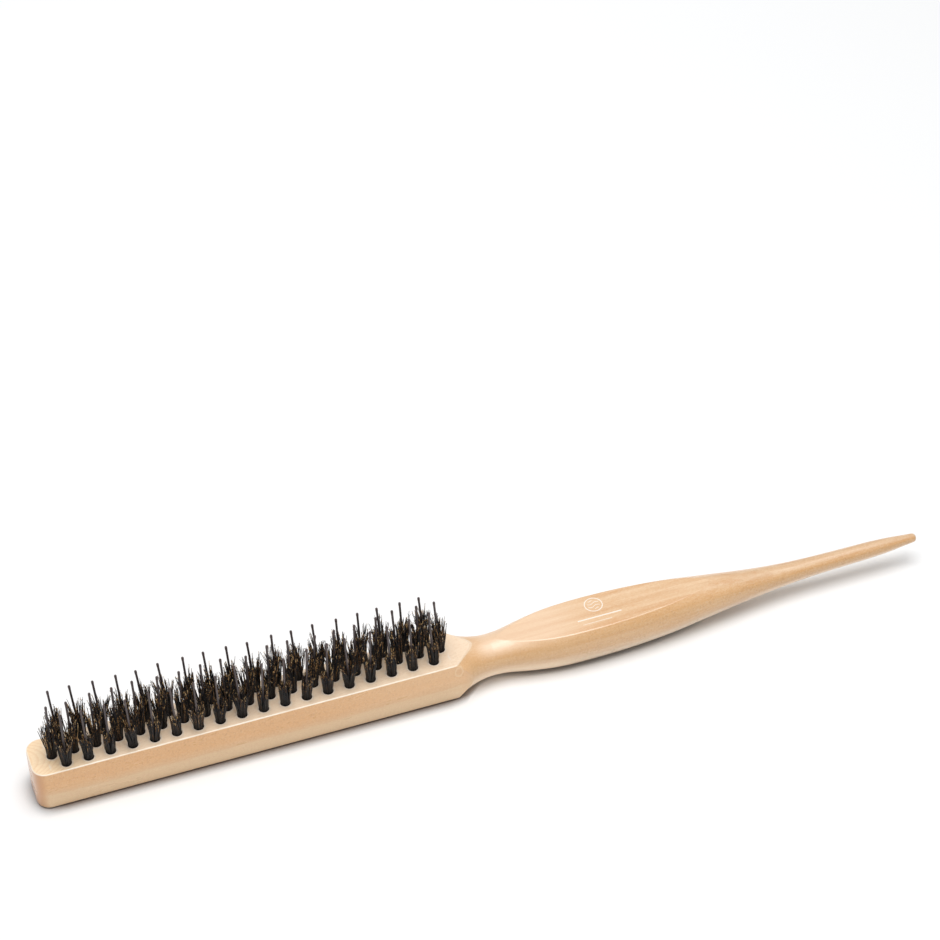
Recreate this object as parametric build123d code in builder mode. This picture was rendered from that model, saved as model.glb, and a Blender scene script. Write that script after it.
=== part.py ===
from build123d import *
import math
import os

# Teasing / tint brush: one turned and milled wooden body, 55 drilled tufts of natural
# bristle, one nylon pin standing through each tuft, and a flat wire anchor that
# holds every tuft in its blind hole. Millimetres, +Z up, bristles pointing up.
# Origin: on the flat underside of the head, midway across its width.
# +X runs towards the tail tip; the front row of tufts is on the -Y side.

# ----------------------------------------------------------------------------
# wooden body
# ----------------------------------------------------------------------------
overall_length = 250.0
head_end_x = -57.0          # free end of the head
tail_tip_x = head_end_x + overall_length
head_width = 13.0
head_height = 13.0
head_corner_radius = 3.6    # in plan, at the two free corners
bevel_inset = 3.0           # shallow bevel round the underside: its width there
bevel_rise = 0.4            # and its height on the sides
bevel_rim_round = 0.5       # broken edge between bevel and side
top_rim_round = 0.3         # broken edge round the bristle face and at the shoulder
axis_y = 0.28               # turning axis: a little off the middle of the bar, and
axis_z = head_height / 2    # half way up it
lathe_clear_x = 54.0        # the lathe profile clears the bar up to here,
lathe_clear_radius = 12.0   # at this radius,
lathe_overrun = 1.0         # and runs this far past the free end
neck_x = 68.0               # thinnest place of the neck
neck_radius = 5.62
leaf_end_x = 134.0          # where the tail starts
tail_tip_round = 1.1

# two flats on the leaf, above and below
leaf_tilt = math.radians(0.50)  # the flats sweep up from the neck
flat_half_gap = 5.68        # half the thickness between the flats
flat_end_margin = 0.1       # each flat stops this far inside both ends of the leaf
flat_cut_width = 30.0
flat_cut_depth = 8.0
flat_edge_round = 0.45

selection_margin = 0.01     # tolerance when picking edges by height

# turned shoulder (x, radius), flaring down to the neck
shoulder_stations = [(56.1, 9.70), (58.0, 8.36), (60.0, 7.27), (62.1, 6.50), (64.6, 5.90)]
shoulder_tangents = [(1.0, -0.78), (1.0, 0.0)]

# leaf and tail (x, radius, rise of the centre above the turning axis)
handle_stations = [
    (neck_x, neck_radius, 0.00),
    (70.0, 5.71, 0.01),
    (72.5, 6.00, 0.03),
    (76.0, 6.66, 0.06),
    (80.0, 7.34, 0.10),
    (84.3, 7.91, 0.14),
    (90.0, 8.27, 0.19),
    (96.0, 8.36, 0.25),
    (102.0, 8.28, 0.30),
    (108.0, 8.05, 0.35),
    (114.0, 7.66, 0.40),
    (120.0, 7.11, 0.46),
    (127.0, 6.21, 0.52),
    (leaf_end_x, 5.26, 0.56),
    (138.0, 4.73, 0.57),
    (143.0, 4.12, 0.60),
    (149.5, 3.43, 0.69),
    (157.0, 2.88, 0.86),
    (165.0, 2.56, 1.07),
    (173.0, 2.39, 1.25),
    (180.0, 2.22, 1.40),
    (185.0, 1.93, 1.50),
    (189.5, 1.50, 1.58),
    (tail_tip_x, 1.21, 1.64),
]

# ----------------------------------------------------------------------------
# holes, anchors, tufts and pins
# ----------------------------------------------------------------------------
pitch = 5.85                # between holes of one row
row_gap = 3.70
pattern_x = 1.63            # centre of the pattern, which lies in line with the turning axis
row_skew = math.radians(0.65)
hole_radius = 1.40
hole_depth = 8.0
hole_bottom_z = head_height - hole_depth

# flat wire anchor low in each hole, biting into the wood on both sides
anchor_thickness = 0.40
anchor_width = 3.40
anchor_height = 2.20
anchor_z = hole_bottom_z + 0.70
anchor_clearance = 0.02     # to the tuft, on the faces and above and below

# nylon pin: heights are measured along the pin from the hole's mouth
pin_radius = 0.30
pin_tip_radius = 0.35
pin_height = 18.6
pin_root = 4.4              # length below the mouth
pin_root_chamfer = 0.06
pin_swell_start = 1.5       # the tip begins to swell this far below its end
pin_swell_end = 0.9         # and has its full radius from here

# tuft: the part packed into the hole, and the crown above it
stem_radius = hole_radius - 0.02
crown_profile = [(1.30, 0.0), (1.52, 0.31), (1.72, 0.64), (1.86, 0.885)]  # radius, part of height
crown_sink = 0.25           # overlap of crown and stem below the mouth
crown_foot_inset = 0.05     # the sunk foot is this much slimmer than the crown at the mouth
crown_edge_radius = 1.45    # outer edge of the domed top,
crown_edge_drop = 0.25      # this far below the summit
crown_flat_radius = 0.8     # level middle of the top
tuft_height = {"front": 8.6, "middle": 10.4, "back": 10.4}  # the front row is cut shorter
bore_radius = pin_radius + 0.03
bore_below = 0.05           # the bore runs this far past the pin's root
bore_above = 1.0            # and its cut this far above the tuft

row_offset = {"front": -row_gap, "middle": 0.0, "back": row_gap}

# lean of each pin, degrees towards +X and towards +Y, from the free end on;
# one entry for each hole of the row
row_leans = {
    "front": [
        (0.3, -1.6), (-1.4, -3.2), (-1.2, -3.5), (-2.6, -4.1), (-1.5, -3.5), (-2.4, -4.3),
        (-1.7, -5.5), (-1.9, -5.0), (-3.0, 0.5), (0.1, -5.0), (-0.3, -6.0), (2.0, -2.6),
        (0.4, -2.4), (-2.6, -2.2), (0.9, -2.3), (-3.2, -1.6), (-1.9, -0.8), (-3.0, 1.2),
    ],
    "middle": [
        (1.1, -0.9), (-1.1, -1.4), (0.4, 1.3), (0.0, 0.8), (-1.3, 1.8), (0.3, -0.5),
        (-0.1, -1.4), (-0.3, -0.2), (-1.9, -0.1), (-0.1, -4.0), (0.6, 0.9), (-0.7, 0.3),
        (3.6, -2.0), (1.5, -1.9), (0.3, -2.4), (0.9, -0.6), (-2.6, 2.2), (-0.8, -0.1),
        (-4.0, -0.7),
    ],
    "back": [
        (-2.7, 3.7), (-3.4, 3.4), (-3.1, 1.5), (-2.6, 1.2), (-4.6, 0.3), (-4.4, 1.7),
        (-2.1, 1.1), (-3.5, 0.7), (-2.8, 0.0), (-4.0, -1.6), (-1.7, -0.8), (-3.7, -1.8),
        (-3.8, -1.2), (-2.2, -2.2), (-2.3, -2.2), (-4.1, -2.2), (-2.9, -3.0), (-4.8, -3.0),
    ],
}


def row_points(count, offset):
    """Hole centres of one row, at the given distance from the middle row."""
    cosine, sine = math.cos(row_skew), math.sin(row_skew)
    points = []
    for i in range(count):
        along = (i - (count - 1) / 2) * pitch
        x = pattern_x + along * cosine - offset * sine
        y = axis_y + along * sine + offset * cosine
        points.append((x, y))
    return points


# each row: (hole centre, lean) pairs
rows = {
    name: list(zip(row_points(len(leans), row_offset[name]), leans))
    for name, leans in row_leans.items()
}
hole_points = [point for row in rows.values() for point, lean in row]


def lean_frame(point, lean):
    """Upright frame at a hole's mouth whose Y axis is the pin's own axis; and that axis."""
    lean_x, lean_y = (math.radians(angle) for angle in lean)
    direction = Vector(math.tan(lean_x), math.tan(lean_y), 1.0).normalized()
    across = Vector(0, 1, 0).cross(direction).normalized()
    frame = Plane(
        origin=(point[0], point[1], head_height), x_dir=across, z_dir=across.cross(direction)
    )
    return frame, direction


def make_head_and_shoulder():
    """Milled head bar with the shoulder and neck turned out of it."""
    half_width = head_width / 2
    with BuildPart() as blank:
        # head bar, rounded in plan at its free end
        with BuildSketch(Plane.XY):
            with BuildLine():
                Polyline(
                    (neck_x, -half_width),
                    (head_end_x, -half_width),
                    (head_end_x, half_width),
                    (neck_x, half_width),
                    close=True,
                )
            make_face()
            free_corners = vertices().group_by(Axis.X)[0]
            fillet(free_corners, radius=head_corner_radius)
        extrude(amount=head_height)

        # bevel round the underside, except at the neck end
        base = edges().filter_by_position(Axis.Z, -selection_margin, selection_margin)
        base = base.sort_by(Axis.X)[:-1]
        underside = faces().sort_by(Axis.Z)[0]
        chamfer(base, length=bevel_inset, length2=bevel_rise, reference=underside)
        bevel_rim = (
            edges()
            .filter_by_position(
                Axis.Z, bevel_rise - selection_margin, bevel_rise + selection_margin
            )
            .sort_by(Axis.X)
        )
        fillet(bevel_rim, radius=bevel_rim_round)

        # the lathe cuts the shoulder and neck out of the bar
        with BuildSketch(Plane.XZ.offset(-axis_y)):
            with BuildLine():
                shoulder = Spline(
                    *[(x, axis_z + radius) for x, radius in shoulder_stations],
                    (neck_x, axis_z + neck_radius),
                    tangents=shoulder_tangents,
                )
                Polyline(
                    shoulder @ 0,
                    (lathe_clear_x, axis_z + lathe_clear_radius),
                    (head_end_x - lathe_overrun, axis_z + lathe_clear_radius),
                    (head_end_x - lathe_overrun, axis_z),
                    (neck_x, axis_z),
                    shoulder @ 1,
                )
            make_face()
        revolve(axis=Axis((0, axis_y, axis_z), (1, 0, 0)), mode=Mode.INTERSECT)

        # top rim, and the curved edges where the shoulder meets the sides of the bar
        top_rim = edges().filter_by_position(
            Axis.Z, head_height - selection_margin, head_height + selection_margin
        )
        side_arrises = [
            edge
            for edge in edges().filter_by(GeomType.LINE, reverse=True)
            if abs(abs(edge.center().Y) - half_width) < 0.02 and edge.center().X > 50
        ]
        fillet(top_rim + ShapeList(side_arrises), radius=top_rim_round)
    return blank.part


def make_handle():
    """Leaf and tail, lofted through round sections, with two flats planed on the leaf."""
    along = Vector(math.cos(leaf_tilt), 0, math.sin(leaf_tilt))
    upward = Vector(-math.sin(leaf_tilt), 0, math.cos(leaf_tilt))
    leaf_length = leaf_end_x - neck_x
    with BuildPart() as blank:
        for x, radius, rise in handle_stations:
            centre = (x, axis_y, axis_z + rise)
            with BuildSketch(Plane(origin=centre, x_dir=(0, 1, 0), z_dir=(1, 0, 0))):
                Circle(radius)
        loft()
        fillet(edges().sort_by(Axis.X)[-1], radius=tail_tip_round)
        for side in (1, -1):
            flat_origin = Vector(neck_x, axis_y, axis_z) + upward * (side * flat_half_gap)
            with BuildSketch(Plane(origin=flat_origin, x_dir=along, z_dir=upward * side)):
                with Locations((leaf_length / 2, 0)):
                    Rectangle(leaf_length - 2 * flat_end_margin, flat_cut_width)
            extrude(amount=flat_cut_depth, mode=Mode.SUBTRACT)
            flats = [
                face
                for face in faces().filter_by(GeomType.PLANE)
                if face.normal_at().dot(upward * side) > 0.999
            ]
            fillet(flats[0].edges(), radius=flat_edge_round)
    return blank.part


def make_wooden_body():
    """Head, shoulder and handle in one, with the blind holes and anchor slots."""
    head = make_head_and_shoulder()
    handle = make_handle()
    with BuildPart() as body:
        add(head)
        add(handle)
        with BuildSketch(Plane.XY.offset(head_height)):
            with Locations(*hole_points):
                Circle(hole_radius)
        extrude(amount=-hole_depth, mode=Mode.SUBTRACT)
        # narrow slots where the anchors bite into the wood
        with BuildSketch(Plane.XY.offset(anchor_z)):
            with Locations(*hole_points):
                Rectangle(anchor_thickness, anchor_width)
        extrude(amount=anchor_height, mode=Mode.SUBTRACT)
    body.part.label = "wooden_body"
    return body.part


def make_tuft(point, lean, height, label):
    """Tuft that stands up along the lean of its pin and opens towards the cut ends."""
    frame, direction = lean_frame(point, lean)
    with BuildPart() as tuft:
        # the part packed into the hole
        with BuildSketch(Plane.XY.offset(hole_bottom_z)):
            with Locations(point):
                Circle(stem_radius)
        extrude(amount=hole_depth)
        # the open crown
        with BuildSketch(frame):
            with BuildLine():
                Polyline(
                    (0, -crown_sink),
                    (crown_profile[0][0] - crown_foot_inset, -crown_sink),
                    *[(radius, height * part) for radius, part in crown_profile],
                    (crown_edge_radius, height - crown_edge_drop),
                    (crown_flat_radius, height),
                    (0, height),
                    close=True,
                )
            make_face()
        revolve(axis=Axis(frame.origin, direction))
        # gap that the wire anchor fills
        with BuildSketch(Plane.XY.offset(anchor_z - anchor_clearance)):
            with Locations(point):
                Rectangle(anchor_thickness + 2 * anchor_clearance, anchor_width)
        extrude(amount=anchor_height + 2 * anchor_clearance, mode=Mode.SUBTRACT)
        # passage for the nylon pin
        shaft = Plane(origin=frame.origin, z_dir=direction)
        with BuildSketch(shaft.offset(-pin_root - bore_below)):
            Circle(bore_radius)
        extrude(amount=pin_root + bore_below + height + bore_above, mode=Mode.SUBTRACT)
    tuft.part.label = label
    return tuft.part


def make_pin_row(row, label):
    """One straight pin for each tuft of a row, with a small rounded bulb at the tip."""
    with BuildPart() as pins:
        for point, lean in row:
            frame, direction = lean_frame(point, lean)
            with BuildSketch(frame):
                with BuildLine():
                    Polyline(
                        (0, pin_height),
                        (0, -pin_root),
                        (pin_radius - pin_root_chamfer, -pin_root),
                        (pin_radius, -pin_root + pin_root_chamfer),
                        (pin_radius, pin_height - pin_swell_start),
                        (pin_tip_radius, pin_height - pin_swell_end),
                        (pin_tip_radius, pin_height - pin_tip_radius),
                    )
                    CenterArc((0, pin_height - pin_tip_radius), pin_tip_radius, 0, 90)
                make_face()
            revolve(axis=Axis(frame.origin, direction))
    pins.part.label = label
    return pins.part


def make_wire_anchors():
    """Short flat staples driven across the holes."""
    with BuildPart() as anchors:
        with BuildSketch(Plane.XY.offset(anchor_z)):
            with Locations(*hole_points):
                Rectangle(anchor_thickness, anchor_width)
        extrude(amount=anchor_height)
    anchors.part.label = "wire_anchors"
    return anchors.part


# ----------------------------------------------------------------------------
# one STEP for each piece
# ----------------------------------------------------------------------------
pieces = [make_wooden_body(), make_wire_anchors()]
for name, row in rows.items():
    for number, (point, lean) in enumerate(row, start=1):
        pieces.append(make_tuft(point, lean, tuft_height[name], f"tuft_{name}_{number:02d}"))
    pieces.append(make_pin_row(row, f"nylon_pins_{name}_row"))

os.makedirs("parts", exist_ok=True)
for piece in pieces:
    export_step(piece, f"parts/{piece.label}.step")
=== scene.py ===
"""A wooden hairbrush lying on its back: bristle tufts with nylon pins, held by wire anchors.

The brush runs along X, the free end of its head towards -X and its handle towards +X.
The bristle face looks up (+Z), the front row of tufts is towards -Y, the floor is at z = 0.
Shapes and patterns are in millimetres. The floor, light and camera are placed in metres.
"""
import math
from types import SimpleNamespace

import bpy
import numpy as np
from mathutils import Matrix, Vector


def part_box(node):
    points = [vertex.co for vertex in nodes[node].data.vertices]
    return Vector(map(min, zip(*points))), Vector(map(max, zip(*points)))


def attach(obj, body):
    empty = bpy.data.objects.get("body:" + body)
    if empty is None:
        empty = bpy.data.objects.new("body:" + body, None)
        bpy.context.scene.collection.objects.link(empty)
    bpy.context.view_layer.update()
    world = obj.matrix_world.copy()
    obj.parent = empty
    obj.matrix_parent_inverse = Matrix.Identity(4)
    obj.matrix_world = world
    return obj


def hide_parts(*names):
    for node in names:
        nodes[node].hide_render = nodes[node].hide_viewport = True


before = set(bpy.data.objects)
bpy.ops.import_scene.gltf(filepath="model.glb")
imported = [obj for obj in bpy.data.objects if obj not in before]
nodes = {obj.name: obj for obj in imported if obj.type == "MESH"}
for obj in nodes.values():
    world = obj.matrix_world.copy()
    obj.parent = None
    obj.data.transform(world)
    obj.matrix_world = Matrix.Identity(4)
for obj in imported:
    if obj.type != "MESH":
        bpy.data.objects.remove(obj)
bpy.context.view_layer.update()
scene = bpy.context.scene

MM = 0.001
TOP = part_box("wooden_body")[1].z / MM     # height of the bristle face
ANCHOR_LO, ANCHOR_HI = (corner.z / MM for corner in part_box("wire_anchors"))
PITCH = 5.85                              # hole pitch along a row
ROW_GAP = 3.70                            # from the middle row to an outer row
HOLES_X, HOLES_Y = 1.63, 0.28             # centre of the hole pattern
SKEW = math.radians(0.65)                 # the rows run a little across the bar
FOLD_SHIFT = 0.0                          # taken off a folded distance; zero keeps it centred


# ---------------------------------------------------------------- node graphs
class Field:
    """A node output that can be used in arithmetic; each operation adds a Math node."""

    def __init__(self, graph, socket):
        self.graph, self.socket = graph, socket

    def math(self, operation, other=None):
        return self.graph.math(operation, self, other)

    def __add__(self, other): return self.math("ADD", other)
    def __sub__(self, other): return self.math("SUBTRACT", other)
    def __rsub__(self, other): return self.graph.math("SUBTRACT", other, self)
    def __mul__(self, other): return self.math("MULTIPLY", other)
    def __truediv__(self, other): return self.math("DIVIDE", other)
    def __abs__(self): return self.math("ABSOLUTE")

    def fade(self, over, to=(0.0, 1.0), smooth=True):
        """Carry the range `over` to the range `to`, holding the end values outside it."""
        return self.graph.node("ShaderNodeMapRange", dict(enumerate((self, *over, *to))),
                               interpolation_type="SMOOTHSTEP" if smooth else "LINEAR")


def hypot(a, b):
    return (a * a + b * b).math("SQRT")


def srgb(rgb):
    """Linear colour from 0-255 sRGB."""
    def linear(channel):
        channel /= 255.0
        return channel / 12.92 if channel <= 0.04045 else ((channel + 0.055) / 1.055) ** 2.4
    return tuple(linear(channel) for channel in rgb)


class Graph:
    """A procedural material; point, x, y and z give the object position in mm."""

    def __init__(self, name):
        self.material = bpy.data.materials.new(name)
        self.material.use_nodes = True
        self.tree = self.material.node_tree
        self.tree.nodes.clear()
        output = self.tree.nodes.new("ShaderNodeOutputMaterial")
        self.bsdf = self.tree.nodes.new("ShaderNodeBsdfPrincipled")
        self.tree.links.new(self.bsdf.outputs[0], output.inputs[0])
        metres = self.node("ShaderNodeTexCoord", output="Object")
        self.point = self.node("ShaderNodeVectorMath", {0: metres, "Scale": 1000.0},
                               operation="SCALE")
        self.x, self.y, self.z = self.split(self.point)

    def plug(self, socket, value):
        if isinstance(value, Field):
            self.tree.links.new(value.socket, socket)
        else:
            socket.default_value = (*value, 1.0) if socket.type == "RGBA" else value

    def set(self, name, value):
        self.plug(self.bsdf.inputs[name], value)

    def node(self, kind, inputs={}, output=0, **settings):
        made = self.tree.nodes.new(kind)
        for key, value in settings.items():
            setattr(made, key, value)
        for key, value in inputs.items():
            self.plug(made.inputs[key], value)
        return Field(self, made.outputs[output])

    def math(self, operation, a, b=None):
        inputs = {0: a} if b is None else {0: a, 1: b}
        return self.node("ShaderNodeMath", inputs, operation=operation)

    def split(self, vector):
        parts = self.node("ShaderNodeSeparateXYZ", {0: vector}).socket.node.outputs
        return [Field(self, socket) for socket in parts]

    def noise(self, scale, detail=2.0, rough=0.5):
        """Noise of a scale per mm; a tuple gives x, y and z a scale each, 0 for no change."""
        vector = self.point
        if isinstance(scale, tuple):
            axes = []
            for axis, factor in zip((self.x, self.y, self.z), scale):
                if factor == 0.0:
                    axes.append(0.0)
                else:
                    axes.append(axis if factor == 1.0 else axis * factor)
            vector = self.node("ShaderNodeCombineXYZ", dict(enumerate(axes)))
            scale = 1.0
        return self.node("ShaderNodeTexNoise", {"Vector": vector, "Scale": scale,
                                                "Detail": detail, "Roughness": rough})

    def mix(self, factor, under, over, blend="MIX"):
        # sockets 6 and 7 and output 2 are the colour ones
        return self.node("ShaderNodeMix", {0: factor, 6: under, 7: over}, output=2,
                         data_type="RGBA", blend_type=blend)

    def paint(self, mask, rgb, amount=None):
        """Lay an sRGB colour over self.colour where the mask says."""
        factor = mask if amount is None else mask * amount
        self.colour = self.mix(factor, self.colour, srgb(rgb))

    def shade(self, mask, amount, by):
        """Multiply self.colour by a linear colour where the mask says."""
        self.colour = self.mix(mask * amount, self.colour, by, blend="MULTIPLY")

    def ramp(self, factor, stops):
        colour = self.node("ShaderNodeValToRGB", {0: factor})
        elements = colour.socket.node.color_ramp.elements
        while len(elements) < len(stops):
            elements.new(0.5)
        for element, (position, rgb) in zip(elements, stops):
            element.position = position
            element.color = (*rgb, 1.0)
        return colour

    def bump(self, height, strength, distance):
        """Bumped normal; the distance is in metres."""
        return self.node("ShaderNodeBump", {"Height": height, "Strength": strength,
                                            "Distance": distance})


# ----------------------------------------------------------------------- wood
def paint_grain(g):
    """Cream to honey ground with rings, bands, streaks and pores along the handle."""
    x, y, z = g.x, g.y, g.z
    # growth rings wander round a pith at y -31, z 64
    wander = g.noise((0.011, 0.05, 0.05), detail=3.0, rough=0.55)
    ripple = g.noise((0.035, 0.16, 0.16))
    radius = hypot(y + 31.0, z - 64.0) + wander * 7.0 + ripple * 1.6 + x * 0.012
    ring = (radius / 2.35).math("FRACT")
    late = ring.fade(over=(0.45, 0.93)) * ring.fade(over=(1.0, 0.94))
    fine_ring = (radius / 0.62 + 0.3).math("FRACT")
    fine_late = fine_ring.fade(over=(0.3, 0.85)) * fine_ring.fade(over=(1.0, 0.9))

    band = g.noise((0.018, 0.42, 0.42), detail=3.0)
    streak = g.noise((0.10, 2.6, 2.6), detail=4.0, rough=0.6)
    pores = g.noise((0.85, 8.0, 8.0)).fade(over=(0.66, 0.74))
    mottle = g.noise((0.55, 0.9, 0.9), detail=3.0, rough=0.6)
    lively = x.fade(over=(56.0, 66.0), to=(1.0, 2.0))          # stronger on the handle

    g.colour = srgb((231, 194, 152))
    g.paint(band.fade(over=(0.34, 0.66)), amount=0.34, rgb=(220, 174, 126))
    g.paint(late * lively, amount=0.10, rgb=(203, 150, 98))
    g.paint(fine_late * lively, amount=0.05, rgb=(203, 150, 98))
    g.paint(streak.fade(over=(0.44, 0.72)) * lively, amount=0.20, rgb=(212, 163, 112))
    g.paint(streak.fade(over=(0.44, 0.26)) * lively, amount=0.22, rgb=(240, 208, 172))
    vein = g.noise((0.022, 0.55, 1.15), detail=3.0, rough=0.55)
    for over, amount, rgb in (((0.52, 0.64), 0.38, (208, 146, 84)),
                              ((0.46, 0.36), 0.34, (246, 216, 180))):
        g.paint(vein.fade(over) * x.fade(over=(60.0, 72.0)), rgb, amount)
    g.paint(mottle.fade(over=(0.50, 0.74)), amount=0.26, rgb=(222, 164, 110))
    g.paint(pores, amount=0.20, rgb=(172, 122, 80))
    return streak, pores, mottle


def paint_sides(g, side, nz):
    """Warm speckled upper sides, paler lower ones, painted light on the downward-facing sides,
    then flecks and grit.
    """
    edge = g.noise((0.022, 0.0, 0.0))
    height = g.z - (edge - 0.5) * 5.0                          # the boundary wanders
    upper = side * height.fade(over=(4.6, 8.4))
    lower = side * height.fade(over=(5.5, 4.5))
    g.paint(upper, amount=0.58, rgb=(236, 176, 104))
    g.paint(lower, amount=0.60, rgb=(236, 204, 160))
    # painted light: sides that face downwards are painted paler
    g.paint(side * nz.fade(over=(-0.05, -0.55)), amount=0.60, rgb=(255, 232, 204))
    speck = g.noise((2.1, 2.1, 1.3), rough=0.6)
    g.paint(speck.fade(over=(0.52, 0.68)) * (upper * 0.30 + 0.07), rgb=(196, 136, 82))
    pale = g.noise((1.7, 3.0, 3.0), rough=0.6)
    g.paint(pale.fade(over=(0.54, 0.70)), amount=0.20, rgb=(246, 220, 188))

    # ray flecks: short dashes across the grain, in patches
    ray = g.noise((3.1, 0.6, 0.55), rough=0.6)
    patch = g.noise((0.09, 0.0, 0.35))
    rays = ray.fade(over=(0.50, 0.66)) * patch.fade(over=(0.40, 0.66)) * side
    g.paint(rays, amount=0.22, rgb=(204, 148, 96))
    grit = g.noise((1.5, 3.4, 3.4), detail=3.0, rough=0.65)
    g.paint(grit.fade(over=(0.50, 0.66)), amount=0.26, rgb=(214, 158, 104))
    g.paint(grit.fade(over=(0.48, 0.34)), amount=0.24, rgb=(248, 220, 184))
    return lower


def paint_end(g, nx):
    """Darker end grain at the free end, darkest near the floor."""
    end = nx.fade(over=(-0.12, -0.80)) * g.x.fade(over=(-50.0, -53.0))
    g.paint(end, amount=0.65, rgb=(214, 156, 94))
    g.paint(end * g.z.fade(over=(4.2, 0.6)), amount=0.35, rgb=(178, 120, 70))
    return end


def paint_bristle_face(g, nz):
    """Paler bristle face with painted light near the free end, frayed, with ring arcs near the
    free end.
    """
    x, y = g.x, g.y
    face = nz.fade(over=(0.965, 0.995)) * g.z.fade(over=(TOP - 0.06, TOP - 0.02))
    g.paint(face, amount=0.62, rgb=(255, 234, 208))
    # painted light: the face near the free end is painted paler and warmer where the bristles
    # shade it
    g.paint(face * x.fade(over=(-36.0, -50.0)), amount=0.70, rgb=(255, 224, 180))
    fray = g.noise((0.9, 2.2, 0.0), detail=4.0, rough=0.7)
    g.paint(fray.fade(over=(0.47, 0.62)) * face, amount=0.22, rgb=(226, 178, 128))
    arc = ((x + y * y * 0.16) / 1.75).math("FRACT")
    arc = arc.fade(over=(0.35, 0.80)) * arc.fade(over=(1.0, 0.86)) * face
    g.paint(arc * x.fade(over=(-44.0, -51.0)), amount=0.26, rgb=(222, 168, 112))
    return face


def paint_hole_dust(g, face):
    """Dust and torn fibres round the mouths of the holes."""
    dx, dy = g.x - HOLES_X, g.y - HOLES_Y
    along = dx * math.cos(SKEW) + dy * math.sin(SKEW)
    across = dy * math.cos(SKEW) - dx * math.sin(SKEW)
    half = PITCH / 2                     # the outer rows are staggered by half a pitch
    outer = hypot((along + half).math("PINGPONG", half) - FOLD_SHIFT, abs(across) - ROW_GAP)
    middle = hypot(along.math("PINGPONG", half), across)
    tear = g.noise((1.6, 2.4, 0.0), detail=4.0, rough=0.7)
    distance = outer.math("MINIMUM", middle) + (tear - 0.5) * 1.1
    dust = distance.fade(over=(2.05, 1.55)) * face * abs(along).fade(over=(54.4, 54.0))
    g.paint(dust, amount=0.60, rgb=(246, 232, 216))
    crumbs = g.noise((3.3, 3.3, 0.0), detail=3.0, rough=0.7)
    g.paint(crumbs.fade(over=(0.56, 0.66)) * dust, amount=0.50, rgb=(188, 168, 146))


def paint_shoulder(g):
    """Warmer turned shoulder and neck, with an oval eye in the grain at the front."""
    turned = g.x.fade(over=(56.5, 60.0)) * g.x.fade(over=(104.0, 74.0))
    turned = turned * g.z.fade(over=(TOP - 0.25, TOP - 0.60))
    g.paint(turned, amount=0.34, rgb=(226, 172, 112))

    # the eye is centred at x 57.15, z 10.55, with half axes 1.12 and 1.85
    wobble = g.noise(0.9, detail=1.0) * 0.5
    radius = hypot((g.x - 57.15) / 1.12, (g.z - 10.55) / 1.85) + (wobble - 0.25)
    front = g.y.fade(over=(-4.6, -5.6))
    core = radius.fade(over=(0.85, 0.35)) * front
    rim = radius.fade(over=(0.62, 0.86)) * radius.fade(over=(1.18, 0.92)) * front
    g.paint(core, amount=0.30, rgb=(216, 156, 96))
    g.paint(rim, amount=0.42, rgb=(250, 226, 192))


def paint_mark(g, nz):
    """Printed mark on the upper flat: a ring with waves inside, over two rules."""
    x, y = g.x, g.y
    mark_x, mark_y, ring_radius = 98.5, 2.73, 2.42
    half_gap = 0.55                      # half the distance between waves
    dx, dy = x - mark_x, y - mark_y
    radius = hypot(dx, dy)
    ring = abs(radius - ring_radius).fade(over=(0.17, 0.09))
    wave = (dx * 1.9).math("SINE") * 0.34
    comb = abs((dy - wave + half_gap).math("PINGPONG", half_gap) - FOLD_SHIFT)
    waves = comb.fade(over=(0.13, 0.06)) * radius.fade(over=(1.78, 1.66))
    # rules at y -1.77 and -3.47: half widths, then half lengths
    upper_rule = abs(y + 1.77).fade(over=(0.24, 0.15)) * abs(x - 98.6).fade(over=(6.3, 6.2))
    lower_rule = abs(y + 3.47).fade(over=(0.14, 0.08)) * abs(x - 97.4).fade(over=(4.2, 4.1))
    rules = upper_rule.math("MAXIMUM", lower_rule * 0.7)
    ink = ring.math("MAXIMUM", waves).math("MAXIMUM", rules)
    on_flat = g.z.fade(over=(12.10, 12.20)) * nz.fade(over=(0.985, 0.998))
    wear = g.noise(5.0, detail=3.0, rough=0.65).fade(over=(0.30, 0.46), to=(0.35, 1.0))
    g.paint(ink * on_flat * (wear * 0.80), rgb=(255, 249, 240))


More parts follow.
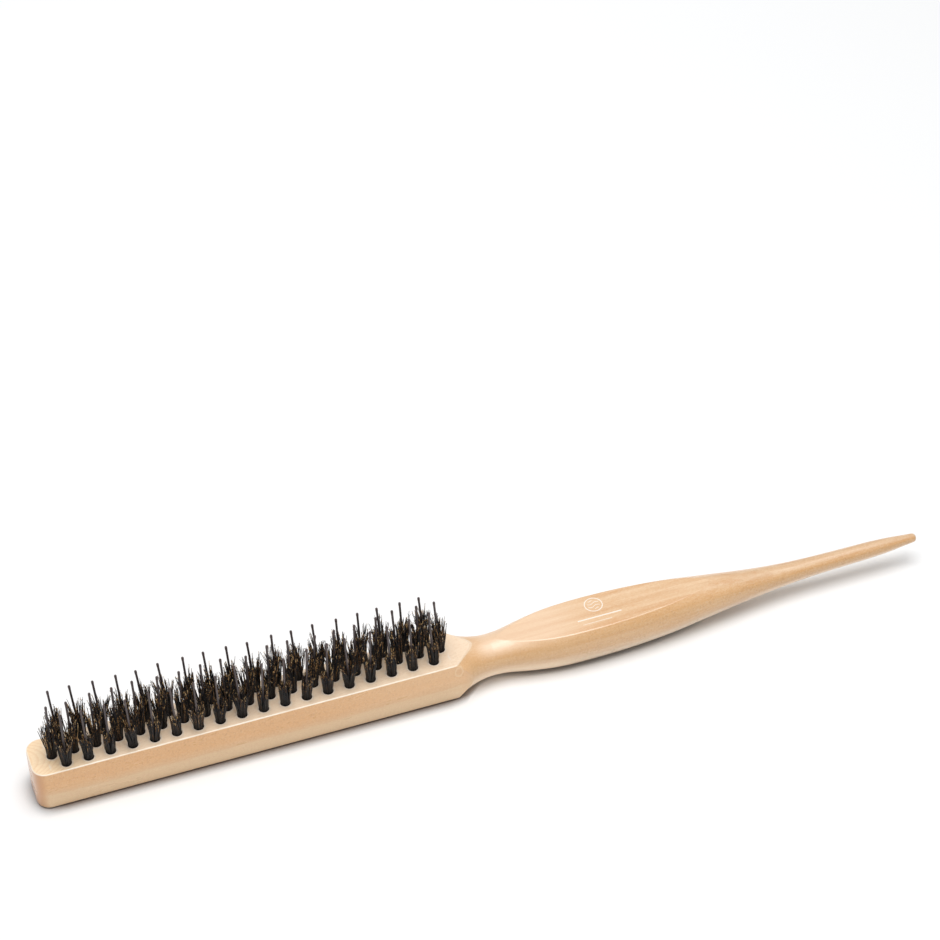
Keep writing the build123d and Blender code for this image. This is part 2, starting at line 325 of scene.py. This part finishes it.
def paint_depth(g, side, lower, end, nz):
    """Warmer, darker bar sides with painted light low and high on them, painted shade on the
    turned handle sides with painted light on its underside and a painted sheen on its crown,
    then darker end grain and a slightly darker tail.
    """
    x, z = g.x, g.z
    bar = side * x.fade(over=(62.0, 58.0)) * (1.0 - lower * 0.62)
    g.shade(bar, amount=0.80, by=(0.99, 0.90, 0.71))
    # painted light: the bar's sides are painted paler near the floor, more so towards the
    # handle
    low_side_light = bar * z.fade(over=(4.6, 1.2)) * x.fade(over=(-50.0, 40.0), to=(0.30, 0.62))
    g.paint(low_side_light, rgb=(252, 228, 194))
    # painted light: the upper bar sides are painted paler towards the shoulder
    high_side_light = bar * z.fade(over=(5.0, 7.5)) * x.fade(over=(10.0, 50.0))
    g.paint(high_side_light, amount=0.22, rgb=(250, 214, 168))
    # painted light: the underside of the neck and of the tail is painted paler
    belly_ends = x.fade(over=(96.0, 80.0)) + x.fade(over=(136.0, 150.0))
    belly_light = nz.fade(over=(0.15, -0.35)) * belly_ends
    # painted shade: the turned sides of the handle are painted darker, less where the underside
    # gets painted light
    round_side_shade = x.fade(over=(58.0, 62.0)) * nz.fade(over=(0.85, 0.40))
    g.shade(round_side_shade * (1.0 - belly_light * 0.80), amount=0.80, by=(0.86, 0.90, 0.93))
    g.paint(belly_light * x.fade(over=(58.0, 62.0)), amount=0.45, rgb=(255, 232, 202))
    # painted sheen: the upward-facing crown of the neck and leaf is painted paler
    crown = nz.fade(over=(0.45, 0.85)) * x.fade(over=(61.5, 67.5))
    g.paint(crown * x.fade(over=(102.0, 82.0)), amount=0.34, rgb=(255, 232, 208))
    g.shade(end, amount=0.85, by=(0.86, 0.71, 0.50))
    g.shade(x.fade(over=(128.0, 146.0)), amount=0.70, by=(0.91, 0.90, 0.90))


def paint_inside(g):
    """Bare drilled wood inside the holes and slots, darkened with painted shade."""
    ends = g.z.fade(over=(4.20, 4.30)) * abs(g.x - HOLES_X).fade(over=(55.2, 55.1))
    bare_shaded_inside = g.z.fade(over=(TOP - 0.10, TOP - 0.32)) * (abs(g.y).fade(over=(5.75, 5.65)) * ends)
    # painted shade: the bare wood inside the recesses is painted dark brown
    g.paint(bare_shaded_inside, amount=0.75, rgb=(150, 104, 66))
    return bare_shaded_inside


def paint_arris_highlight(g, nz):
    """Painted highlight with rubbed wear along the arrises of the head."""
    edge = g.z.fade(over=(TOP - 0.30, TOP - 0.20)) * nz.fade(over=(0.10, 0.35))
    arris_highlight = edge * (nz.fade(over=(0.9995, 0.995)) * g.x.fade(over=(66.5, 65.0)))
    wear = g.noise((0.2, 1.0, 1.0), detail=3.0, rough=0.6)
    wear = wear.fade(over=(0.30, 0.60), to=(0.70, 1.0))
    wear = wear * g.x.fade(over=(55.2, 56.8), to=(1.0, 0.50))
    # painted highlight: a pale line along the arrises, varied by rubbed wear
    g.paint(arris_highlight * wear, amount=0.90, rgb=(255, 242, 222))


def lacquered_maple():
    g = Graph("lacquered_maple")
    nx, ny, nz = g.split(g.node("ShaderNodeNewGeometry", output="Normal"))
    side = abs(ny).fade(over=(0.35, 0.85))
    streak, pores, mottle = paint_grain(g)
    lower = paint_sides(g, side, nz)
    end = paint_end(g, nx)
    face = paint_bristle_face(g, nz)
    paint_hole_dust(g, face)
    paint_shoulder(g)
    paint_mark(g, nz)
    paint_depth(g, side, lower, end, nz)
    bare_shaded_inside = paint_inside(g)
    paint_arris_highlight(g, nz)

    g.set("Base Color", g.colour)
    g.set("Roughness", streak.fade(over=(0.2, 0.8), to=(0.36, 0.50), smooth=False))
    g.set("Specular IOR Level", 0.60)
    g.set("Coat Weight", 1.0 - bare_shaded_inside)
    smudge = g.noise((0.08, 0.2, 0.2), detail=4.0, rough=0.6)
    gloss = smudge.fade(over=(0.3, 0.7), to=(0.25, 0.34), smooth=False)
    satin = g.x.fade(over=(57.5, 61.0)) * g.x.fade(over=(92.0, 78.0))   # duller neck
    g.set("Coat Roughness", gloss + satin * 0.15)
    g.set("Coat IOR", 1.62)
    relief = streak * 0.6 + pores * -0.5 + mottle * 0.5
    g.set("Normal", g.bump(relief, strength=0.20, distance=0.00006))
    peel = g.noise((0.35, 0.8, 0.8))
    g.set("Coat Normal", g.bump(peel, strength=0.10, distance=0.00008))
    return g.material


# ------------------------------------------------- bristle, nylon, wire, floor
BRISTLE_STOPS = [                         # tone, linear colour
    (0.00, (0.0040, 0.0042, 0.0050)),
    (0.13, (0.0260, 0.0280, 0.0330)),
    (0.22, (0.0130, 0.0090, 0.0070)),
    (0.42, (0.0760, 0.0370, 0.0160)),
    (0.62, (0.2900, 0.1420, 0.0520)),
    (0.82, (0.5600, 0.3300, 0.1400)),
    (1.00, (0.7800, 0.5600, 0.2800)),
]


def boar_bristle():
    g = Graph("boar_bristle")
    tone = g.node("ShaderNodeAttribute", output="Fac", attribute_name="tone")
    fine = g.noise(3.0, detail=3.0, rough=0.6)
    broken = g.noise((2.2, 2.2, 1.5), detail=3.0, rough=0.6)
    tone = tone * broken.fade(over=(0.45, 0.56), to=(0.40, 1.42))
    tone = tone * g.z.fade(over=(TOP + 0.5, TOP + 6.0), to=(0.52, 1.0))   # dark roots
    g.set("Base Color", g.ramp(tone + (fine - 0.5) * 0.08, BRISTLE_STOPS))
    g.set("Roughness", fine.fade(over=(0.3, 0.7), to=(0.26, 0.42), smooth=False))
    g.set("Specular IOR Level", 0.26)
    g.set("Specular Tint", (0.95, 0.97, 1.0))
    g.set("Normal", g.bump(g.noise(9.0), strength=0.25, distance=0.00002))
    return g.material


def nylon_pin(name, row_light):
    """Brown-black nylon, painted paler by row as painted light, and paler towards the tips."""
    g = Graph(name)
    cloud = g.noise((2.0, 2.0, 0.5), detail=3.0, rough=0.6)
    tip = g.z.fade(over=(TOP + 14.5, TOP + 18.4))
    dark = (0.020 + row_light * 0.020, 0.0125 + row_light * 0.018, 0.0140 + row_light * 0.019)
    warm = (0.050 + row_light * 0.045, 0.030 + row_light * 0.036, 0.030 + row_light * 0.036)
    tip_brown = (0.085, 0.052, 0.048)
    colour = g.mix(cloud.fade(over=(0.35, 0.7)), dark, warm)
    g.set("Base Color", g.mix(tip * 0.5, colour, tip_brown))
    g.set("Roughness", cloud.fade(over=(0.3, 0.7), to=(0.30, 0.46), smooth=False))
    g.set("Specular IOR Level", 0.5)
    g.set("Coat Weight", 0.15)
    g.set("Coat Roughness", 0.2)
    g.set("Normal", g.bump(g.noise(6.0), strength=0.15, distance=0.00003))
    return g.material


def anchor_wire():
    g = Graph("anchor_wire")
    brush = g.noise((9.0, 0.6, 9.0), detail=3.0, rough=0.6)
    spot = g.noise(1.3, detail=4.0, rough=0.6)
    dull, bright, tarnish = (0.40, 0.40, 0.41), (0.62, 0.61, 0.60), (0.33, 0.24, 0.17)
    colour = g.mix(brush.fade(over=(0.3, 0.7)), dull, bright)
    g.set("Base Color", g.mix(spot.fade(over=(0.60, 0.78)) * 0.5, colour, tarnish))
    g.set("Metallic", 1.0)
    g.set("Roughness", brush.fade(over=(0.2, 0.8), to=(0.26, 0.46), smooth=False))
    g.set("Normal", g.bump(brush, strength=0.3, distance=0.00002))
    return g.material


def studio_floor():
    """Near-white floor with a tinted contact shadow, lighter under the handle."""
    g = Graph("studio_floor")
    x = g.x
    grey, light_grey, far_white = (0.90,) * 3, (0.92,) * 3, (0.985,) * 3
    shadow_blue, shadow_brown = (0.085, 0.125, 0.165), (0.150, 0.086, 0.050)
    colour = g.mix(g.noise(0.004), grey, light_grey)
    colour = g.mix(g.y.fade(over=(120.0, 420.0)), colour, far_white)
    reach = x.fade(over=(54.0, 64.0), to=(0.0032, 0.0016), smooth=False)   # metres
    open_sky = g.node("ShaderNodeAmbientOcclusion", {"Distance": reach}, output="AO", samples=8)
    shadow = open_sky.fade(over=(1.0, 0.5), smooth=False)
    shadow = shadow * x.fade(over=(54.0, 64.0), to=(0.86, 0.56), smooth=False)
    shadow = shadow * x.fade(over=(-59.0, -50.0), to=(0.35, 1.0), smooth=False)
    tint = g.mix(shadow.fade(over=(0.10, 0.50)), shadow_blue, shadow_brown)
    g.set("Base Color", g.mix(shadow, colour, tint))
    g.set("Roughness", 0.9)
    g.set("Specular IOR Level", 0.15)
    return g.material


def dress(node_name, material):
    materials = nodes[node_name].data.materials
    materials.clear()
    materials.append(material)


wood = lacquered_maple()
bristle = boar_bristle()
dress("wooden_body", wood)
# painted light: one nylon copy per row, the front row painted palest and the back row darkest
for row, row_light in (("front", 0.9), ("middle", 0.35), ("back", 0.0)):
    dress(f"nylon_pins_{row}_row", nylon_pin(f"nylon_{row}", row_light))
dress("wire_anchors", anchor_wire())


# ------------------------------------------------------------- bristle bundles
PAIRS = 42                                # strands, each folded into two hairs
HAIRS = PAIRS * 2
HOLE = 1.22                               # hairs stay inside this radius at the mouth
CORE = 0.44                               # radius at the mouth kept free for the pin
PIN = 0.36                                # pin radius
GOLDEN_ANGLE = 2.399963
TURN = 6.28                               # range of the random angles

# stations along a hair from mouth to tip: share of length, radius factor, tip colour share
ALONG = np.array([0.0, 0.17, 0.34, 0.51, 0.68, 0.84, 1.0])
TAPER = np.array([1.0, 1.0, 1.0, 0.98, 0.94, 0.84, 0.50])
TIP_TONE = np.array([0, 0, 0, 0, 0.06, 0.32, 1.0])
FOOT_POINTS = 7                           # path points below the mouth
# the same along a twig
TWIG_ALONG = np.array([0.0, 0.35, 0.7, 1.0])
TWIG_TAPER = np.array([1.0, 0.95, 0.8, 0.4])

FRONT = SimpleNamespace(
    spread=(0.70, 1.20),                  # how far the bundle opens
    locks=10,                             # hairs gather into this many locks
    pull=(0.45, 0.85),                    # towards the middle of the lock
    lock_bend=0.34, lock_length=0.30,     # scatter between locks
    tall=(7.0, 7.8), over_tall=1.3, least=4.8, scatter=0.40,       # hair lengths
    short_share=0.14, short_by=(0.8, 2.6),
    stray_share=0.03, stray_by=(0.2, 0.8), stray_bend=0.6,
    bend=0.16, wiggle=0.07,
    brown=0.10, dark_brown=0.24,          # cumulative shares of shaft tones
    gold_tips=0.50,
    twigs=52, twig_from=0.55, twig_length=0.85)
REAR = SimpleNamespace(                   # the middle and back rows
    spread=(0.62, 1.10), locks=11, pull=(0.25, 0.70),
    lock_bend=0.46, lock_length=0.60,
    tall=None, over_tall=2.0, least=5.5, scatter=0.75,
    short_share=0.26, short_by=(1.0, 4.5),
    stray_share=0.05, stray_by=(0.2, 1.0), stray_bend=0.9,
    bend=0.24, wiggle=0.14,
    brown=0.12, dark_brown=0.30,
    gold_tips=0.46,
    twigs=120, twig_from=0.35, twig_length=1.0)
REAR_TALL = 10.6
END_TUFT_TALL, END_TUFT_SPREAD = 8.2, 1.60     # tuft 1 of the front row


def unit(v):
    return v / np.maximum(np.linalg.norm(v, axis=-1, keepdims=True), 1e-12)


def tubes(paths, radii, tones, sides, reference, spin):
    """Closed tapered tubes: vertices, quads, triangles and a tone per vertex.

    paths is (tubes, points, 3), radii and tones (tubes, points); reference is a vector
    that no tube follows, spin turns each tube's section.
    """
    count, points, _ = paths.shape
    tangent = np.empty_like(paths)
    tangent[:, 1:-1] = paths[:, 2:] - paths[:, :-2]
    tangent[:, 0] = paths[:, 1] - paths[:, 0]
    tangent[:, -1] = paths[:, -1] - paths[:, -2]
    tangent = unit(tangent)
    normal = unit(np.cross(tangent, np.broadcast_to(reference, tangent.shape)))
    binormal = np.cross(tangent, normal)
    angle = spin[:, None] + np.arange(sides)[None, :] * 2 * math.pi / sides
    cos, sin = np.cos(angle)[:, None, :, None], np.sin(angle)[:, None, :, None]
    ring = paths[:, :, None, :] + radii[:, :, None, None] * (
        cos * normal[:, :, None, :] + sin * binormal[:, :, None, :])
    tips = np.stack([paths[:, 0] - tangent[:, 0] * radii[:, :1] * 0.9,
                     paths[:, -1] + tangent[:, -1] * radii[:, -1:] * 0.9], 1)
    verts = np.concatenate([ring.reshape(count, -1, 3), tips], 1)

    k = np.arange(sides)
    after = (k + 1) % sides
    quads = np.concatenate([
        np.stack([a + k, a + after, a + sides + after, a + sides + k], 1)
        for a in range(0, (points - 1) * sides, sides)])
    last, tip = (points - 1) * sides, points * sides
    tris = np.concatenate([np.stack([after, k, np.full(sides, tip)], 1),
                           np.stack([last + k, last + after, np.full(sides, tip + 1)], 1)])
    first = (np.arange(count) * (tip + 2))[:, None, None]
    tone = np.concatenate([np.repeat(tones, sides, 1), tones[:, :1], tones[:, -1:]], 1)
    return (verts.reshape(-1, 3), (quads[None] + first).reshape(-1, 4),
            (tris[None] + first).reshape(-1, 3), tone.ravel())


def make_mesh(name, parts, material):
    """One object from the results of several tubes() calls."""
    first = 0
    shifted = []
    for verts, quads, tris, tone in parts:
        shifted.append((verts, quads + first, tris + first, tone))
        first += len(verts)
    verts, quads, tris, tone = map(np.concatenate, zip(*shifted))
    mesh = bpy.data.meshes.new(name)
    mesh.vertices.add(len(verts))
    mesh.vertices.foreach_set("co", (verts * MM).astype(np.float32).ravel())
    loops = np.concatenate([quads.ravel(), tris.ravel()]).astype(np.int32)
    mesh.loops.add(len(loops))
    mesh.loops.foreach_set("vertex_index", loops)
    starts = np.concatenate([np.arange(len(quads)) * 4,
                             len(quads) * 4 + np.arange(len(tris)) * 3]).astype(np.int32)
    mesh.polygons.add(len(starts))
    mesh.polygons.foreach_set("loop_start", starts)
    mesh.update(calc_edges=True)
    mesh.validate()
    mesh.polygons.foreach_set("use_smooth", np.ones(len(mesh.polygons), bool))
    attribute = mesh.attributes.new("tone", "FLOAT", "POINT")
    attribute.data.foreach_set("value", tone.astype(np.float32))
    mesh.materials.append(material)
    return link(name, mesh)


def link(name, data):
    made = bpy.data.objects.new(name, data)
    scene.collection.objects.link(made)
    return made


def tuft_axis(node):
    """Hole mouth and lean of a tuft, from its CAD solid."""
    co = np.empty(len(node.data.vertices) * 3, np.float32)
    node.data.vertices.foreach_get("co", co)
    co = co.reshape(-1, 3).astype(float) / MM
    foot = co[co[:, 2] < TOP - 7.0]
    centre = (foot.min(0) + foot.max(0)) / 2
    crown = co[co[:, 2] > co[:, 2].max() - 0.28]
    tip = (crown.min(0) + crown.max(0)) / 2
    mouth = np.array([centre[0], centre[1], TOP])
    return mouth, unit(tip - mouth)


def pack_mouth(rng):
    """Where each hair crosses the mouth, as x, y from the hole's centre."""
    i = np.arange(HAIRS)
    radius = np.sqrt((i + 0.5) / HAIRS * (HOLE ** 2 - CORE ** 2) + CORE ** 2)
    angle = i * GOLDEN_ANGLE + rng.uniform(0, TURN)
    radius = np.clip(radius + rng.normal(0, 0.03, HAIRS), CORE - 0.01, HOLE)
    return np.stack([radius * np.cos(angle), radius * np.sin(angle)], 1)


def pair_hairs(at_mouth):
    """Match each hair of the -X half with one of the +X half, in order of y."""
    order = np.argsort(at_mouth[:, 0])
    halves = order[:PAIRS], order[PAIRS:]
    return np.stack([half[np.argsort(at_mouth[half, 1])] for half in halves], 1)


def grow_hairs(rng, style, end_tuft, at_mouth, mouth, axis):
    """Hair paths above the mouth, (hairs, stations, 3)."""
    spread = rng.uniform(*style.spread)
    if end_tuft:
        spread = END_TUFT_SPREAD          # the draw above keeps the random order

    # locks: each hair joins a near one and shares its bend and length
    i = np.arange(style.locks)
    angle = i * GOLDEN_ANGLE + rng.uniform(0, TURN)
    radius = np.sqrt((i + 0.6) / style.locks) * 1.20
    lock = np.stack([radius * np.cos(angle), radius * np.sin(angle)], 1)
    apart = at_mouth[:, None] - lock[None]
    squared = apart[..., 0] ** 2 + apart[..., 1] ** 2
    near = np.argmin(squared + rng.normal(0, 0.05, squared.shape), 1)
    pull = rng.uniform(*style.pull, style.locks)[near] * rng.uniform(0.7, 1.0, HAIRS)
    lock_bend = rng.normal(0, style.lock_bend, (style.locks, 2))[near]
    lock_length = rng.normal(0, style.lock_length, style.locks)[near]

    if end_tuft:
        tall = END_TUFT_TALL
    else:
        tall = rng.uniform(*style.tall) if style.tall else REAR_TALL
    length = tall + lock_length + rng.normal(0, style.scatter, HAIRS)
    short = rng.random(HAIRS) < style.short_share
    length[short] -= rng.uniform(*style.short_by, short.sum())
    length = np.clip(length, style.least, tall + style.over_tall)
    stray = rng.random(HAIRS) < style.stray_share
    length[stray] += rng.uniform(*style.stray_by, stray.sum())
    bend = rng.normal(0, style.bend, (HAIRS, 2))
    bend[stray] += rng.normal(0, style.stray_bend, (stray.sum(), 2))
    wiggle = rng.normal(0, style.wiggle, (HAIRS, 2))
    phase = rng.uniform(0, TURN, HAIRS)

    height = length[:, None] * ALONG[None]
    opening = 1.0 + spread * (0.62 * (height / 10.0) + 0.38 * (height / 10.0) ** 2)
    offset = at_mouth[:, None] * opening[..., None]
    centre = lock[near][:, None] * opening[..., None]
    offset += (centre - offset) * pull[:, None, None] * (ALONG ** 0.9)[:, None]
    offset += (bend + lock_bend)[:, None] * ALONG[:, None] ** 2
    swing = np.sin(ALONG[None] * 5.0 + phase[:, None]) - np.sin(phase)[:, None]
    offset += wiggle[:, None] * swing[..., None]
    # keep clear of the pin standing in the middle
    reach = np.hypot(offset[..., 0], offset[..., 1])
    offset *= (np.maximum(reach, PIN + 0.10) / np.maximum(reach, 1e-6))[..., None]

    across = unit(np.cross(np.array([0.0, 1.0, 0.0]), axis))   # near +X
    along_anchor = np.cross(axis, across)                      # near +Y
    return (mouth + axis * height[..., None] + across * offset[..., :1]
            + along_anchor * offset[..., 1:])


def fold_foot(at_mouth, pairing, mouth):
    """Path points below the mouth: down one side of the anchor, under it and up."""
    legs, depths, lows = [], [], []
    for column, sign in ((0, -1.0), (1, 1.0)):
        x, y = at_mouth[pairing[:, column]].T
        layer = np.abs(x) / HOLE
        foot_y = np.clip(y, -1.08, 1.08)
        wall = np.sqrt(np.maximum(1.28 ** 2 - foot_y ** 2, 0.12))
        foot_x = np.minimum(0.32 + layer * 0.55, np.maximum(wall, 0.31))
        throat_x = np.maximum(np.abs(x) * 0.9, 0.34)
        stations = ((throat_x, y * 0.97, TOP - 2.6),
                    (foot_x, foot_y, ANCHOR_HI + 0.1),
                    (foot_x, foot_y, ANCHOR_LO + 0.12))
        legs.append([np.stack([mouth[0] + sign * px, mouth[1] + py, np.full(PAIRS, pz)], 1)
                     for px, py, pz in stations])
        depths.append(0.14 + layer * 0.42)
        lows.append(foot_y)
    bottom = np.stack([np.full(PAIRS, mouth[0]), mouth[1] + (lows[0] + lows[1]) / 2,
                       ANCHOR_LO - (depths[0] + depths[1]) / 2], 1)
    return np.stack([*legs[0], bottom, *legs[1][::-1]], 1)


def strands(rng, style, hairs, pairing, foot):
    """Folded strands: black or brown shafts with dark or golden tips."""
    down, up = hairs[pairing[:, 0]][:, ::-1], hairs[pairing[:, 1]]
    paths = np.concatenate([down, foot, up], 1)
    profile = np.concatenate([TAPER[::-1], np.full(FOOT_POINTS, 0.97), TAPER])
    radii = rng.uniform(0.092, 0.128, PAIRS)[:, None] * profile[None]

    kind = rng.random(PAIRS)
    shaft = np.where(kind < style.brown, rng.uniform(0.50, 0.66, PAIRS),
                     np.where(kind < style.dark_brown, 0.42, rng.uniform(0.0, 0.15, PAIRS)))
    ends = np.where(rng.random((PAIRS, 2)) < style.gold_tips,
                    rng.uniform(0.50, 0.98, (PAIRS, 2)), rng.uniform(0.02, 0.34, (PAIRS, 2)))
    shaft = shaft[:, None]
    down_tone, up_tone = (shaft * (1 - TIP_TONE[None]) + ends[:, k:k + 1] * TIP_TONE[None]
                          for k in (0, 1))
    tones = np.concatenate([down_tone[:, ::-1], np.repeat(shaft, FOOT_POINTS, 1) * 0.5,
                            up_tone], 1)
    return tubes(paths, radii, tones, sides=4, reference=np.array([0.0, 1.0, 0.0]),
                 spin=rng.uniform(0, TURN, PAIRS))


def twigs(rng, style, hairs):
    """Split ends near the tips and side twigs lower down."""
    count = style.twigs
    which = rng.integers(0, HAIRS, count)
    place = np.where(rng.random(count) < 0.40, rng.uniform(0.88, 0.99, count),
                     rng.uniform(style.twig_from, 0.9, count))
    split_end = place > 0.88
    station = place * (len(ALONG) - 1)
    below = np.clip(station.astype(int), 0, len(ALONG) - 2)
    part = (station - below)[:, None]
    p0, p1 = hairs[which, below], hairs[which, below + 1]
    start = p0 * (1 - part) + p1 * part
    along = unit(p1 - p0)
    wild = unit(rng.normal(0, 1, (count, 3)))
    sideways = unit(wild - along * (wild * along).sum(1, keepdims=True))
    lean = np.where(split_end, rng.uniform(8, 34, count),
                    rng.uniform(22, 62, count)) * math.pi / 180
    heading = unit(along * np.cos(lean)[:, None] + sideways * np.sin(lean)[:, None])
    length = np.where(split_end, rng.uniform(0.4, 1.0, count), rng.uniform(0.5, 1.25, count))
    length *= style.twig_length
    curl = unit(np.cross(heading, wild)) * rng.uniform(-0.25, 0.25, count)[:, None]
    paths = (start[:, None] + heading[:, None] * (TWIG_ALONG[None] * length[:, None])[..., None]
             + curl[:, None] * (TWIG_ALONG[None, :, None] ** 2) * length[:, None, None])
    radii = rng.uniform(0.052, 0.084, count)[:, None] * TWIG_TAPER[None]

    gold = rng.random(count) < 0.38
    root = np.where(gold, rng.uniform(0.35, 0.70, count), rng.uniform(0.0, 0.22, count))
    tip = np.clip(root + np.where(gold, rng.uniform(0.1, 0.35, count),
                                  rng.uniform(0.0, 0.15, count)), 0, 1)
    tones = root[:, None] + (tip - root)[:, None] * TWIG_ALONG[None]
    return tubes(paths, radii, tones, sides=3, reference=np.array([0.31, 0.95, 0.07]),
                 spin=rng.uniform(0, TURN, count))


def bundle(node_name, row, row_number, number):
    """Replace one CAD tuft with its bristles."""
    rng = np.random.default_rng(1000 * row_number + number)
    style = FRONT if row == "front" else REAR
    mouth, axis = tuft_axis(nodes[node_name])
    at_mouth = pack_mouth(rng)
    pairing = pair_hairs(at_mouth)
    end_tuft = row == "front" and number == 1
    hairs = grow_hairs(rng, style, end_tuft, at_mouth, mouth, axis)
    foot = fold_foot(at_mouth, pairing, mouth)
    parts = [strands(rng, style, hairs, pairing, foot), twigs(rng, style, hairs)]
    made = make_mesh(f"bristles_{row}_{number:02d}", parts, bristle)
    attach(made, "root")
    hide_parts(node_name)


for row_number, row in enumerate(("front", "middle", "back"), 1):
    for node_name in sorted(n for n in nodes if n.startswith(f"tuft_{row}_")):
        bundle(node_name, row, row_number, number=int(node_name[-2:]))


# --------------------------------------------------------- the studio (metres)
def make_floor(half=6.0, z=-0.00002):
    mesh = bpy.data.meshes.new("floor")
    corners = [(-half, -half, z), (half, -half, z), (half, half, z), (-half, half, z)]
    mesh.from_pydata(corners, [], [(0, 1, 2, 3)])
    mesh.update()
    mesh.materials.append(studio_floor())
    return link("floor", mesh)


def set_view_and_world():
    view = scene.view_settings
    view.view_transform = "Standard"
    view.look = "None"
    view.exposure = 0.0
    view.gamma = 1.0
    world = bpy.data.worlds.new("studio")
    scene.world = world
    world.use_nodes = True
    colour, strength = world.node_tree.nodes["Background"].inputs[:2]
    colour.default_value = (0.97, 0.985, 1.0, 1.0)
    strength.default_value = 0.44


def add_overhead():
    """Softbox above the brush."""
    place, target = Vector((0.045, -0.03, 0.95)), Vector((0.06, 0.0, 0.0))
    light = bpy.data.lights.new("overhead", "AREA")
    light.shape = "RECTANGLE"
    light.size, light.size_y = 0.70, 0.68
    light.energy = 7.9
    lamp = link("overhead", light)
    lamp.location = place
    lamp.rotation_euler = (target - place).to_track_quat("-Z", "Y").to_euler()


def add_camera():
    camera = bpy.data.cameras.new("camera")
    camera.sensor_fit = "HORIZONTAL"
    camera.sensor_width = 36.0
    camera.lens = 113.240681
    camera.clip_start = 0.05
    camera.clip_end = 20.0
    scene.camera = link("camera", camera)
    # columns: the camera's right, up and backward directions, then its place
    scene.camera.matrix_world = Matrix((
        (0.9431498, 0.2365076, -0.2335221, -0.109474),
        (-0.3320729, 0.6409396, -0.6920434, -0.512326),
        (-0.0140000, 0.7302470, 0.6830398, 0.581327),
        (0, 0, 0, 1),
    ))


make_floor()
set_view_and_world()
add_overhead()
add_camera()
